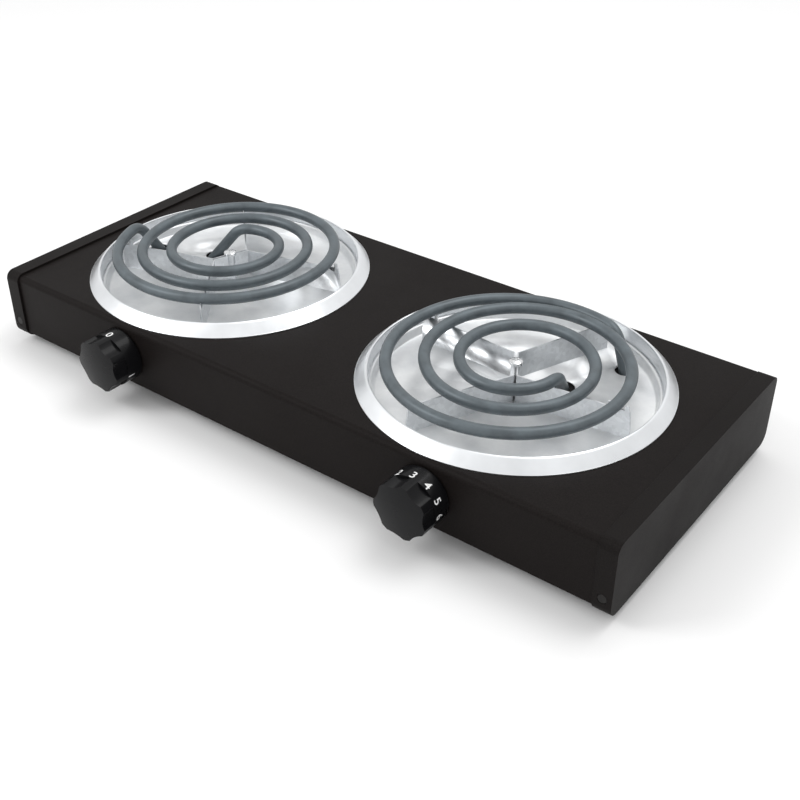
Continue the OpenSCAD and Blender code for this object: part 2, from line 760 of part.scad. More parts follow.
// Leads of one burner: coil to thermostat, coil to mains block, mains block to thermostat
module wiring(side) {
    low = panel_bottom + lead_rise;
    tab_y = front_y + sheet + therm_d + tab_size[2] + lead_touch;
    run_y = tab_y + lead_turn;
    mains_y = mains_centre[1] - mains_size[1] / 2 - lead_touch;
    run_x = burner_x(side) + side * bridge_half * 2 / 3;
    coil_tab = dial_x(side) + side * therm_w / 4;
    mains_tab = dial_x(side) - side * therm_w / 4;
    outer = block_side(side, 1, lead_touch);
    outer_out = block_side(side, 1, lead_turn);
    inner = block_side(side, -1, lead_touch);
    inner_out = block_side(side, -1, lead_turn);
    neutral_x = side * mains_size[0] * terminals[0];
    live_x = side * mains_size[0] * terminals[1];
    color([0.75, 0.30, 0.22]) {
        lead([outer, outer_out, [outer_out[0], outer_out[1], low], [run_x, outer_out[1], low],
              [run_x, run_y, low], [coil_tab, run_y, low], [coil_tab, run_y, dial_z],
              [coil_tab, tab_y, dial_z]]);
        lead([inner, inner_out, [inner_out[0], inner_out[1], low], [neutral_x, inner_out[1], low],
              [neutral_x, mains_y, low]]);
        lead([[live_x, mains_y, low], [live_x, run_y, low], [mains_tab, run_y, low],
              [mains_tab, run_y, dial_z], [mains_tab, tab_y, dial_z]]);
    }
}

module mains_block() {
    color([0.20, 0.19, 0.18])
    translate(mains_centre) difference() {
        translate([-mains_size[0] / 2, -mains_size[1] / 2, panel_bottom]) cube(mains_size);
        screw_hole(panel_bottom - cut, panel_bottom + mains_size[2] + cut);
    }
}

module mains_block_screw() {
    color([0.72, 0.72, 0.70])
    translate(mains_centre) small_screw(base_bottom - head_h, panel_bottom + mains_size[2]);
}

module earth_lead() {
    low = panel_bottom + lead_rise;
    color([0.35, 0.55, 0.25])
    lead([[0, mains_centre[1] - mains_size[1] / 2 - lead_touch, low], [0, earth_at[1], low],
          [0, earth_at[1], panel_bottom + head_h + lead_touch]]);
}

module earth_screw() {
    color([0.80, 0.70, 0.35])
    translate(earth_at) small_screw(base_bottom - head_h, panel_bottom);
}

module cord_gland() {
    color([0.09, 0.09, 0.09])
    translate([0, back_y, gland_z]) rotate([-90, 0, 0]) difference() {
        union() {
            cylinder(r = gland_flange_r, h = gland_reach);
            translate([0, 0, -gland_inside]) cylinder(r = gland_body_r, h = gland_inside + cut);
        }
        translate([0, 0, -gland_inside - cut])
            cylinder(d = gland_bore_d, h = gland_inside + gland_reach + 2 * cut);
    }
}

module gland_nut() {
    color([0.12, 0.12, 0.12])
    translate([0, back_y - sheet - gland_nut_h, gland_z]) rotate([-90, 0, 0]) difference() {
        hex(3 * gland_body_r, gland_nut_h);
        translate([0, 0, -cut]) cylinder(r = gland_body_r + thread_play, h = gland_nut_h + 2 * cut);
    }
}

module foot(sx, sy) {
    color([0.10, 0.10, 0.10])
    translate([sx * (shell_end - foot_from_end), body_y + sy * (body_depth / 2 - foot_from_side), 0])
    difference() {
        rotate_extrude() polygon([
            [0, 0], [foot_d / 2 - foot_taper, 0], [foot_d / 2, base_bottom], [0, base_bottom]]);
        translate([0, 0, -cut]) cylinder(d = foot_recess_d, h = foot_recess_h + cut);
        screw_hole(0, base_bottom + cut);
    }
}

// Screws that go up from below
module foot_screws() {
    color([0.72, 0.72, 0.70])
    for_feet() mirror([0, 0, 1]) small_screw(-panel_bottom - head_h, -foot_recess_h);
}

module base_screws() {
    color([0.72, 0.72, 0.70])
    for_base_screws() mirror([0, 0, 1]) small_screw(-panel_bottom - 2 * head_h, -base_bottom);
}

module cap_screws() {
    color([0.10, 0.10, 0.10])
    for_cap_screws() {
        translate([0, 0, -cap_sink]) cylinder(d = head_d, h = cap_sink, $fn = 32);
        translate([0, 0, -screw_len]) cylinder(d = small_screw_d, h = screw_len - cap_sink / 2, $fn = 32);
    }
}

housing_shell();
base_plate();
end_cap(-1);  // left_end_cap
end_cap(1);  // right_end_cap
trim_ring(-1);  // left_trim_ring
trim_ring(1);  // right_trim_ring
drip_bowl(-1);  // left_drip_bowl
drip_bowl(1);  // right_drip_bowl
heating_coil(-1);  // left_heating_coil
heating_coil(1);  // right_heating_coil
bracket_strip(-1, arm_angles_a, 1);  // left_bracket_strip_a
bracket_strip(-1, arm_angles_b, -1);  // left_bracket_strip_b
bracket_strip(1, arm_angles_a, 1);  // right_bracket_strip_a
bracket_strip(1, arm_angles_b, -1);  // right_bracket_strip_b
centre_screw(-1);  // left_centre_screw
centre_screw(1);  // right_centre_screw
centre_nut(-1);  // left_centre_nut
centre_nut(1);  // right_centre_nut
burner_bridge(-1);  // left_burner_bridge
burner_bridge(1);  // right_burner_bridge
terminal_block(-1);  // left_terminal_block
terminal_block(1);  // right_terminal_block
block_screws();
thermostat(-1);  // left_thermostat
thermostat(1);  // right_thermostat
shaft(-1);  // left_shaft
shaft(1);  // right_shaft
panel_nut(-1);  // left_panel_nut
panel_nut(1);  // right_panel_nut
knob(-1);  // left_knob
knob(1);  // right_knob
wiring(-1);  // left_wiring
wiring(1);  // right_wiring
mains_block();
mains_block_screw();
earth_lead();
earth_screw();
cord_gland();
gland_nut();
foot(-1, -1);  // front_left_foot
foot(1, -1);  // front_right_foot
foot(-1, 1);  // back_left_foot
foot(1, 1);  // back_right_foot
foot_screws();
base_screws();
cap_screws();
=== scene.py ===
"""A double electric hot plate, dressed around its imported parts: painted housing, satin rings,
bright drip bowls, spiral tube burners and glossy dials."""

import json
from math import cos, pi, radians, sin

import bmesh
import bpy
from bpy.props import FloatProperty, FloatVectorProperty, IntProperty, PointerProperty
from bpy.types import Operator, Panel, PropertyGroup
from mathutils import Matrix, Vector


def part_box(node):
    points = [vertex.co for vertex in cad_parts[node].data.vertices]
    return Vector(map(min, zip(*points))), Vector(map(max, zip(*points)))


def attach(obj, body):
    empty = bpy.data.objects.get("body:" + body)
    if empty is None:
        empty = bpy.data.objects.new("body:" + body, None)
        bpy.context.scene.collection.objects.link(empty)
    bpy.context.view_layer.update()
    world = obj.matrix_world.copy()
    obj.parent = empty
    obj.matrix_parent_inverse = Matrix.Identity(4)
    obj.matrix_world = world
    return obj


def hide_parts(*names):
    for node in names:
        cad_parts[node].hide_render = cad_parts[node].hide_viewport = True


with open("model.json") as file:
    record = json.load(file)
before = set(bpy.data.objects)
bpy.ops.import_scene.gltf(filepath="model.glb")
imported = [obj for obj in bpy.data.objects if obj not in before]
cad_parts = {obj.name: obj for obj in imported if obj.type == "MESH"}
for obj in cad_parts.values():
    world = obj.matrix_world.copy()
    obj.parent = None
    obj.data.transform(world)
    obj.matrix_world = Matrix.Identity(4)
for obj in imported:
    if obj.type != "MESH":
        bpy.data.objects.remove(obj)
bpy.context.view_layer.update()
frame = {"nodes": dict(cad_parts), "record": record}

bl_info = {
    "name": "Double hot plate",
    "version": (1, 0, 0),
    "blender": (4, 5, 0),
    "location": "View3D > Sidebar > Hot plate",
    "description": "Builds the visible surfaces of a double spiral-tube hot plate",
    "category": "Object",
}

NODES = frame["nodes"]
MM = 0.001
SIDES = ("left", "right")
APPLIANCE = "appliance"
UP = Vector((0, 0, 1))

# Heating tube: its section, its steps along an arc and round a bend, its end bends and legs
TUBE_SIDES = 28
ARC_STEP = 3.2
BEND_STEPS = 14
BEND = 14 * MM
LEG_DEEP = 33.2 * MM

# Drip bowl: room round a leg, hole for the screw, and how far the rim stays inside the crest
LEG_ROOM = 1.4 * MM
SCREW_HOLE_R = 2.2 * MM
RIM_FROM = 3.2 * MM
RIM_TO = 1.3 * MM

# Dials: angle of each digit from 0, angle each dial stands at, and where the digits are printed
SCALE = (("0", 0), ("1", 112), ("2", 144.6), ("3", 177.2), ("4", 209.8), ("5", 242.4), ("6", 275))
TURNED = {"left": 0, "right": 177.2}
KNOB_R = 18 * MM
DIGIT_FROM_PANEL = 9.2 * MM
DIGIT_BAND = 0.45 * MM
PRINT_THICK = 0.04 * MM

# Colours that two groups of pieces share
INNER_STEEL = (0.45, 0.46, 0.47)
PLAIN_ZINC = (0.60, 0.60, 0.58)

# Studio
FLOOR_SIZE = 6
WORLD_LIGHT = 0.86
SOFTBOXES = (
    ("Key", (-0.75, -0.84, 1.0), (0.5, 0.5), 6.0),
    ("Fill", (0.3, 0.5, 1.5), (1.0, 0.8), 8.0),
)
LENS = 53.29
CAMERA_OFFSET = Vector((425.9, -523.3, 388.9)) * MM
CAMERA_AZIMUTH = radians(37.03)
CAMERA_ELEVATION = radians(33.89)
CAMERA_ROLL = radians(0.2)


def middle(node):
    """Middle of a CAD node's box."""
    low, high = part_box(node)
    return (low + high) / 2


TOP_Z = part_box("housing_shell")[1].z
FRONT_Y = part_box("housing_shell")[0].y
BURNERS = {side: Vector((*middle(f"{side}_trim_ring").xy, TOP_Z)) for side in SIDES}
DIALS = {
    side: Vector((middle(f"{side}_shaft").x, FRONT_Y, middle(f"{side}_shaft").z))
    for side in SIDES}


# ---- What a user would change ----

class HotPlateSizes(PropertyGroup):
    """Sizes of the pieces that are modelled here"""

    tube: FloatProperty(
        name="Tube diameter", description="Diameter of the heating tube",
        default=7.4 * MM, min=5 * MM, max=9 * MM, unit="LENGTH")
    coil_height: FloatProperty(
        name="Coil height", description="Height of the tube's centre above the housing",
        default=14.7 * MM, min=12 * MM, max=20 * MM, unit="LENGTH")
    ring_outer: FloatProperty(
        name="Ring radius", description="Outer radius of a trim ring",
        default=97.5 * MM, min=90 * MM, max=98 * MM, unit="LENGTH")
    ring_crest: FloatProperty(
        name="Crest radius", description="Radius of the ring's crest",
        default=90 * MM, min=84 * MM, max=91 * MM, unit="LENGTH")
    ring_rise: FloatProperty(
        name="Crest height", description="Height of the ring's crest above the housing",
        default=7.5 * MM, min=4 * MM, max=9 * MM, unit="LENGTH")
    bowl_floor: FloatProperty(
        name="Bowl floor radius", description="Radius of the bowl's flat floor",
        default=85.7 * MM, min=80 * MM, max=86 * MM, unit="LENGTH")
    bowl_depth: FloatProperty(
        name="Bowl depth", description="Depth of the bowl's floor below the housing's top",
        default=8 * MM, min=5 * MM, max=12 * MM, unit="LENGTH")
    sheet: FloatProperty(
        name="Thin sheet", description="Thickness of ring and bowl",
        default=0.8 * MM, min=0.4 * MM, max=1.2 * MM, unit="LENGTH")
    digit: FloatProperty(
        name="Digit height", description="Height of the dials' digits",
        default=5.6 * MM, min=3 * MM, max=7 * MM, unit="LENGTH")
    round_steps: IntProperty(
        name="Steps round", description="Steps of a full turn on rings and bowls",
        default=224, min=48, max=360)


class HotPlateColours(PropertyGroup):
    """Base colours of the finishes"""

    paint: FloatVectorProperty(
        name="Housing paint", description="Baked enamel of the housing", subtype="COLOR",
        size=3, min=0, max=1, default=(0.0085, 0.0068, 0.0064))
    cap_paint: FloatVectorProperty(
        name="Cap paint", description="Baked enamel of the end caps", subtype="COLOR",
        size=3, min=0, max=1, default=(0.0088, 0.0074, 0.0070))
    ring: FloatVectorProperty(
        name="Ring", description="Satin sheet of the trim rings", subtype="COLOR",
        size=3, min=0, max=1, default=(0.88, 0.90, 0.92))
    bowl: FloatVectorProperty(
        name="Bowl", description="Bright aluminium of the drip bowls", subtype="COLOR",
        size=3, min=0, max=1, default=(0.90, 0.92, 0.94))
    tube: FloatVectorProperty(
        name="Tube", description="Sheath of the heating tubes", subtype="COLOR",
        size=3, min=0, max=1, default=(0.098, 0.118, 0.130))
    zinc: FloatVectorProperty(
        name="Zinc", description="Galvanised brackets", subtype="COLOR",
        size=3, min=0, max=1, default=(0.72, 0.74, 0.76))
    knob: FloatVectorProperty(
        name="Knob", description="Moulded dials", subtype="COLOR",
        size=3, min=0, max=1, default=(0.0050, 0.0050, 0.0056))
    print_white: FloatVectorProperty(
        name="Print", description="Digits on the dials", subtype="COLOR",
        size=3, min=0, max=1, default=(0.86, 0.86, 0.85))
    floor: FloatVectorProperty(
        name="Floor", description="Pale floor", subtype="COLOR",
        size=3, min=0, max=1, default=(0.90, 0.90, 0.90))


def sizes():
    """The sizes from the panel."""
    return bpy.context.scene.hot_plate_sizes


def ledge_height():
    """Height of the ledge that carries a bowl, measured from the housing's top."""
    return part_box("left_trim_ring")[0].z - TOP_Z


def chosen(name):
    """A base colour from the panel."""
    return tuple(getattr(bpy.context.scene.hot_plate_colours, name))


# ---- Materials ----

class Finish:
    """A node material being built: a Principled shader and what feeds it"""

    def __init__(self, name, colour, metallic=0.0, roughness=0.5, **fixed):
        self.material = bpy.data.materials.get(name)
        self.fresh = self.material is None
        if not self.fresh:
            return
        self.material = bpy.data.materials.new(name)
        self.material.use_nodes = True
        self.tree = self.material.node_tree
        self.shader = self.tree.nodes["Principled BSDF"]
        self.shader.inputs["Base Color"].default_value = (*colour, 1)
        self.shader.inputs["Metallic"].default_value = metallic
        self.shader.inputs["Roughness"].default_value = roughness
        for socket, value in fixed.items():
            self.shader.inputs[socket.replace("_", " ")].default_value = value
        self.place = self.add("ShaderNodeTexCoord").outputs["Object"]
        self.last_bump = None

    def add(self, kind, **settings):
        """A new node with its settings."""
        node = self.tree.nodes.new(kind)
        for key, value in settings.items():
            setattr(node, key, value)
        return node

    def link(self, source, target):
        self.tree.links.new(source, target)

    def stretched(self, scale, turn):
        """Object coordinates, turned, then scaled a different amount along each axis."""
        mapping = self.add("ShaderNodeMapping")
        mapping.inputs["Scale"].default_value = scale
        mapping.inputs["Rotation"].default_value = turn
        self.link(self.place, mapping.inputs["Vector"])
        return mapping.outputs["Vector"]

    def around(self, centre, per_turn, per_metre):
        """Coordinates that follow circles about an upright axis: angle, radius and height."""
        shift = self.add("ShaderNodeVectorMath", operation="SUBTRACT")
        shift.inputs[1].default_value = centre
        self.link(self.place, shift.inputs[0])
        split = self.add("ShaderNodeSeparateXYZ")
        self.link(shift.outputs[0], split.inputs[0])
        angle = self.add("ShaderNodeMath", operation="ARCTAN2")
        self.link(split.outputs["Y"], angle.inputs[0])
        self.link(split.outputs["X"], angle.inputs[1])
        turn = self.add("ShaderNodeMath", operation="MULTIPLY")
        turn.inputs[1].default_value = per_turn / (2 * pi)
        self.link(angle.outputs[0], turn.inputs[0])
        flat = self.add("ShaderNodeVectorMath", operation="MULTIPLY")
        flat.inputs[1].default_value = (1, 1, 0)
        self.link(shift.outputs[0], flat.inputs[0])
        radius = self.add("ShaderNodeVectorMath", operation="LENGTH")
        self.link(flat.outputs[0], radius.inputs[0])
        out = self.add("ShaderNodeMath", operation="MULTIPLY")
        out.inputs[1].default_value = per_metre
        self.link(radius.outputs["Value"], out.inputs[0])
        join = self.add("ShaderNodeCombineXYZ")
        self.link(turn.outputs[0], join.inputs[0])
        self.link(out.outputs[0], join.inputs[1])
        self.link(split.outputs["Z"], join.inputs[2])
        return join.outputs[0]

    def noise(self, scale, detail, rough, where=None):
        """Soft noise from 0 to 1."""
        node = self.add("ShaderNodeTexNoise")
        node.inputs["Scale"].default_value = scale
        node.inputs["Detail"].default_value = detail
        node.inputs["Roughness"].default_value = rough
        self.link(where or self.place, node.inputs["Vector"])
        return node.outputs["Fac"]

    def cells(self, scale):
        """Separate colour channels that differ from crystal to crystal."""
        node = self.add("ShaderNodeTexVoronoi", feature="F1")
        node.inputs["Scale"].default_value = scale
        self.link(self.place, node.inputs["Vector"])
        split = self.add("ShaderNodeSeparateColor")
        self.link(node.outputs["Color"], split.inputs[0])
        return split.outputs

    def span(self, value, low, high, from_low=0.3, from_high=0.7):
        """A value moved from one range to another, held at its ends."""
        node = self.add("ShaderNodeMapRange")
        node.inputs["From Min"].default_value = from_low
        node.inputs["From Max"].default_value = from_high
        node.inputs["To Min"].default_value = low
        node.inputs["To Max"].default_value = high
        self.link(value, node.inputs["Value"])
        return node.outputs["Result"]

    def tint(self, value, low, high):
        """Base colour that goes from low to high with a value from 0 to 1."""
        mix = self.add("ShaderNodeMix", data_type="RGBA")
        self.link(value, mix.inputs["Factor"])
        ends = [socket for socket in mix.inputs if socket.type == "RGBA"]
        ends[0].default_value = (*low, 1)
        ends[1].default_value = (*high, 1)
        result = [socket for socket in mix.outputs if socket.type == "RGBA"][0]
        self.link(result, self.shader.inputs["Base Color"])

    def rough(self, value):
        """Roughness that follows a value."""
        self.link(value, self.shader.inputs["Roughness"])

    def bump(self, height, distance, strength):
        """A bump on top of the ones before it."""
        node = self.add("ShaderNodeBump")
        node.inputs["Strength"].default_value = strength
        node.inputs["Distance"].default_value = distance
        self.link(height, node.inputs["Height"])
        if self.last_bump:
            self.link(self.last_bump, node.inputs["Normal"])
        self.last_bump = node.outputs["Normal"]
        self.link(self.last_bump, self.shader.inputs["Normal"])


def scaled(colour, factor):
    """A lighter or darker version of a colour."""
    return [min(1.0, c * factor) for c in colour]


def enamel(name, colour):
    """Baked enamel with a fine grain, a little dust and rubbed patches."""
    f = Finish(name, colour, roughness=0.5, Specular_IOR_Level=0.07)
    if f.fresh:
        grain = f.noise(1500, 2, 0.6)
        patches = f.noise(14, 4, 0.55)
        f.tint(f.span(grain, 0, 1, 0.35, 0.68), scaled(colour, 0.72), scaled(colour, 1.5))
        f.rough(f.span(patches, 0.44, 0.56))
        f.bump(grain, 0.00006, 0.55)
        f.bump(f.noise(230, 3, 0.5), 0.00008, 0.25)
    return f.material


def satin_ring(name, colour, centre):
    """Sheet turned on a lathe: fine circles, soft cloudy handling marks."""
    f = Finish(name, colour, metallic=1.0, roughness=0.33)
    if f.fresh:
        circles = f.noise(1, 3, 0.6, f.around(centre, 6, 2600))
        clouds = f.noise(26, 4, 0.6)
        f.tint(f.span(clouds, 0, 1), scaled(colour, 0.93), scaled(colour, 1.06))
        f.rough(f.span(clouds, 0.26, 0.40))
        f.bump(circles, 0.00003, 0.35)
    return f.material


def bright_bowl(name, colour, centre):
    """Rolled aluminium, bright, with drawing marks, small dents and a few scratches."""
    f = Finish(name, colour, metallic=0.6, roughness=0.46)
    if f.fresh:
        rolled = f.noise(1, 3, 0.55, f.stretched((60, 1500, 60), (0, 0, radians(24))))
        clouds = f.noise(34, 5, 0.6)
        dents = f.noise(42, 2, 0.4)
        f.tint(f.span(clouds, 0, 1), scaled(colour, 0.86), scaled(colour, 1.1))
        f.rough(f.span(clouds, 0.38, 0.52))
        f.bump(rolled, 0.00002, 0.3)
        f.bump(dents, 0.0004, 0.12)
    return f.material


def heated_sheath(name, colour):
    """Annealed alloy tube: satin blue-grey, mottled where it has been hot."""
    f = Finish(name, colour, metallic=0.35, roughness=0.42, Specular_IOR_Level=0.6)
    if f.fresh:
        mottle = f.noise(70, 5, 0.62)
        fine = f.noise(900, 3, 0.6)
        f.tint(f.span(mottle, 0, 1), scaled(colour, 0.78), scaled(colour, 1.28))
        f.rough(f.span(mottle, 0.36, 0.52))
        f.bump(fine, 0.00006, 0.4)
    return f.material


def galvanised(name, colour):
    """Zinc coat with the patchwork of its crystals."""
    f = Finish(name, colour, metallic=1.0, roughness=0.35)
    if f.fresh:
        crystals = f.cells(420)
        f.tint(crystals[0], scaled(colour, 0.93), scaled(colour, 1.07))
        f.rough(f.span(crystals[1], 0.34, 0.48, 0, 1))
        f.bump(f.noise(700, 3, 0.5), 0.00003, 0.4)
    return f.material


def plated(name, colour, roughness=0.25):
    """Zinc-plated fastener with fine wear."""
    f = Finish(name, colour, metallic=1.0, roughness=roughness)
    if f.fresh:
        wear = f.noise(420, 4, 0.6)
        f.tint(f.span(wear, 0, 1), scaled(colour, 0.82), scaled(colour, 1.12))
        f.rough(f.span(wear, roughness - 0.06, roughness + 0.14))
        f.bump(wear, 0.00003, 0.4)
    return f.material


def moulded(name, colour, roughness, shine=0.5, gloss=0.0, grain=900):
    """Moulded plastic or rubber with a faint flow texture."""
    f = Finish(
        name, colour, roughness=roughness, Specular_IOR_Level=shine, Coat_Weight=gloss,
        Coat_Roughness=0.08)
    if f.fresh:
        flow = f.noise(grain, 3, 0.5)
        handled = f.noise(60, 4, 0.6)
        f.tint(f.span(handled, 0, 1), scaled(colour, 0.8), scaled(colour, 1.3))
        f.rough(f.span(handled, roughness * 0.8, roughness * 1.25))
        f.bump(flow, 0.00004, 0.35)
    return f.material


def earthen(name, colour):
    """Unglazed ceramic: chalky, slightly speckled."""
    f = Finish(name, colour, roughness=0.8)
    if f.fresh:
        speckle = f.noise(1100, 2, 0.5)
        f.tint(f.span(speckle, 0, 1), scaled(colour, 0.82), scaled(colour, 1.08))
        f.bump(speckle, 0.00008, 0.6)
    return f.material


# ---- Mesh helpers ----

def finished(bm, name, material, body=APPLIANCE, replaces=(), smooth_below=35.0, weighted=True):
    """Makes a bmesh into a piece that rides on a body."""
    mesh = bpy.data.meshes.new(name)
    bm.to_mesh(mesh)
    bm.free()
    mesh.materials.append(material)
    mesh.polygons.foreach_set("use_smooth", [True] * len(mesh.polygons))
    mesh.set_sharp_from_angle(angle=radians(smooth_below))
    piece = bpy.data.objects.new(name, mesh)
    bpy.context.scene.collection.objects.link(piece)
    if weighted:
        normals = piece.modifiers.new("Normals", "WEIGHTED_NORMAL")
        normals.keep_sharp = True
    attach(piece, body)
    if replaces:
        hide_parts(*replaces)
    return piece


def soften(bm, width, segments, above):
    """Rounds every edge that is sharper than an angle."""
    sharp = [e for e in bm.edges if len(e.link_faces) == 2 and e.calc_face_angle(0) > radians(above)]
    bmesh.ops.bevel(
        bm, geom=sharp, offset=width, offset_type="OFFSET", affect="EDGES",
        segments=segments, profile=0.5, material=-1, clamp_overlap=True)


def dressed(node, material, width, segments=2, above=30.0, body=APPLIANCE, name=None):
    """A CAD node's shape with its edges softened, in place of the node."""
    bm = bmesh.new()
    bm.from_mesh(NODES[node].data)
    bmesh.ops.remove_doubles(bm, verts=bm.verts, dist=0.004 * MM)
    bmesh.ops.dissolve_limit(bm, angle_limit=radians(0.6), verts=bm.verts, edges=bm.edges)
    soften(bm, width, segments, above)
    return finished(bm, name or node.capitalize(), material, body, replaces=[node])


def made_of(geometry, kind):
    """The elements of one kind in the result of an operator."""
    return [g for g in geometry if isinstance(g, kind)]


def lathe(points, at, steps):
    """A closed section of points (radius, height), turned about an upright axis."""
    bm = bmesh.new()
    verts = [bm.verts.new((at.x + r, at.y, at.z + h)) for r, h in points]
    edges = [bm.edges.new(pair) for pair in zip(verts, verts[1:] + verts[:1])]
    bmesh.ops.spin(
        bm, geom=verts + edges, cent=at, axis=UP, angle=2 * pi, steps=steps, use_merge=True)
    bmesh.ops.remove_doubles(bm, verts=bm.verts, dist=0.001 * MM)
    bmesh.ops.recalc_face_normals(bm, faces=bm.faces)
    return bm


# ---- The heating tubes: arcs of falling radius, joined where one ends and the next starts ----

COILS = {
    "left": {
        "radii": (75.5, 67, 57.5, 47.5, 37.5, 29.5), "joint": 390, "start": 197, "stop": 1198,
        "centre": (-4.3, 1.6), "outer_bend": (73, 62), "inner_bend": (89, 50)},
    "right": {
        "radii": (76.5, 73, 61, 50.5, 40, 30.5), "joint": 240, "start": 72, "stop": 1071,
        "centre": (0.7, -4.4), "outer_bend": (85, 62), "inner_bend": (61, 50)},
}


def heading(degrees):
    """Level direction at an angle from +X."""
    return Vector((cos(radians(degrees)), sin(radians(degrees)), 0))


def coil_arcs(side):
    """(centre, radius, from, to) of each arc of a coil, in the row frame."""
    c = COILS[side]
    centre = BURNERS[side] + Vector((*c["centre"], 0)) * MM + UP * sizes().coil_height
    arcs = []
    last = len(c["radii"]) - 1
    for k, radius in enumerate(c["radii"]):
        begin = c["start"] if k == 0 else c["joint"] + 180 * (k - 1)
        end = c["stop"] if k == last else c["joint"] + 180 * k
        if k:
            centre = centre + (c["radii"][k - 1] - radius) * MM * heading(begin)
        arcs.append((centre.copy(), radius * MM, begin, end))
    return arcs


def coil_end(side, outer):
    """Start of an end bend: (point, tube's direction, direction it bends to, turn in radians)."""
    arcs = coil_arcs(side)
    tilt, turn = COILS[side]["outer_bend" if outer else "inner_bend"]
    centre, radius, begin, end = arcs[0] if outer else arcs[-1]
    angle = begin if outer else end
    point = centre + radius * heading(angle)
    ahead = heading(angle - 90 if outer else angle + 90)
    inward = -heading(angle)
    return point, ahead, cos(radians(tilt)) * inward - sin(radians(tilt)) * UP, radians(turn)


def leg(side, outer):
    """Straight leg below an end bend: (its top, its direction)."""
    point, ahead, bend, turn = coil_end(side, outer)
    top = point + BEND * (sin(turn) * ahead + (1 - cos(turn)) * bend)
    return top, cos(turn) * ahead + sin(turn) * bend


def leg_through(side, outer, z):
    """Where a leg's axis passes a height."""
    top, down = leg(side, outer)
    return top + down * ((z - top.z) / down.z)


def swept_end(bm, ring, side, outer):
    """Bends the tube down from a ring of edges and runs the leg into its block."""
    point, ahead, bend, turn = coil_end(side, outer)
    axis = ahead.cross(bend)
    made = bmesh.ops.spin(
        bm, geom=ring, cent=point + BEND * bend, axis=axis, angle=turn, steps=BEND_STEPS)
    top, down = leg(side, outer)
    low = leg_through(side, outer, TOP_Z + sizes().coil_height - LEG_DEEP)
    made = bmesh.ops.extrude_edge_only(bm, edges=made_of(made["geom_last"], bmesh.types.BMEdge))
    bmesh.ops.translate(bm, vec=low - top, verts=made_of(made["geom"], bmesh.types.BMVert))


def tube_mesh(side):
    """The tube of a coil: a circle taken along its arcs, then bent down at both ends."""
    bm = bmesh.new()
    arcs = coil_arcs(side)
    centre, radius, begin, _ = arcs[0]
    start = centre + radius * heading(begin)
    turned = Matrix.Rotation(radians(begin), 4, "Z") @ Matrix.Rotation(radians(90), 4, "X")
    bmesh.ops.create_circle(
        bm, cap_ends=False, radius=sizes().tube / 2, segments=TUBE_SIDES,
        matrix=Matrix.Translation(start) @ turned)
    first = list(bm.edges)
    ring = list(bm.edges) + list(bm.verts)
    for centre, radius, begin, end in arcs:
        steps = max(2, round((end - begin) / ARC_STEP))
        made = bmesh.ops.spin(
            bm, geom=ring, cent=centre, axis=UP, angle=radians(end - begin), steps=steps)
        ring = made["geom_last"]
    swept_end(bm, ring, side, False)
    swept_end(bm, first + list({v for e in first for v in e.verts}), side, True)
    bmesh.ops.remove_doubles(bm, verts=bm.verts, dist=0.005 * MM)
    bmesh.ops.holes_fill(bm, edges=[e for e in bm.edges if e.is_boundary], sides=0)
    bmesh.ops.recalc_face_normals(bm, faces=bm.faces)
    return bm


# ---- Operators ----

class HOTPLATE_OT_housing(Operator):
    """Folded housing, its base plate and the cord's gland"""
    bl_idname = "hotplate.housing"
    bl_label = "Housing"

    def execute(self, context):
        paint = enamel("Housing enamel", chosen("paint"))
        dressed("housing_shell", paint, 0.2 * MM, name="Housing")
        dressed("base_plate", galvanised("Inner steel", INNER_STEEL), 0.12 * MM)
        black = moulded("Gland plastic", (0.014, 0.014, 0.014), 0.5)
        for node in ("cord_gland", "gland_nut"):
            dressed(node, black, 0.4 * MM, 3)
        return {"FINISHED"}


class HOTPLATE_OT_end_caps(Operator):
    """End caps that close the housing"""
    bl_idname = "hotplate.end_caps"
    bl_label = "End caps"

    def execute(self, context):
        paint = enamel("Cap enamel", chosen("cap_paint"))
        for side in SIDES:
            dressed(f"{side}_end_cap", paint, 0.35 * MM, 3)
        return {"FINISHED"}


class HOTPLATE_OT_trim_rings(Operator):
    """Satin rings round the burners"""
    bl_idname = "hotplate.trim_rings"
    bl_label = "Trim rings"

    def execute(self, context):
        s = sizes()
        t = s.sheet
        ledge = ledge_height()
        for side in SIDES:
            at = BURNERS[side]
            bm = lathe([
                (s.ring_outer, 0), (s.ring_outer, 0.7 * t), (s.ring_outer - 0.5 * t, t),
                (s.ring_crest + 1.4 * MM, s.ring_rise - 0.75 * MM),
                (s.ring_crest + 0.6 * MM, s.ring_rise - 0.2 * MM), (s.ring_crest, s.ring_rise),
                (s.ring_crest - 0.6 * t, s.ring_rise - 0.2 * MM),
                (s.ring_crest - t, s.ring_rise - 0.8 * MM),
                (s.ring_crest - t, ledge + t), (s.ring_crest - 3 * t, ledge + t),
                (s.ring_crest - 3 * t, ledge), (s.ring_crest, ledge),
                (s.ring_crest, s.ring_rise - 1.6 * MM), (s.ring_outer - 2 * t, 0)], at, s.round_steps)
            satin = satin_ring(f"Satin ring {side}", chosen("ring"), at)
            finished(bm, f"{side.capitalize()}_trim_ring", satin,
                     replaces=[f"{side}_trim_ring"])
        return {"FINISHED"}


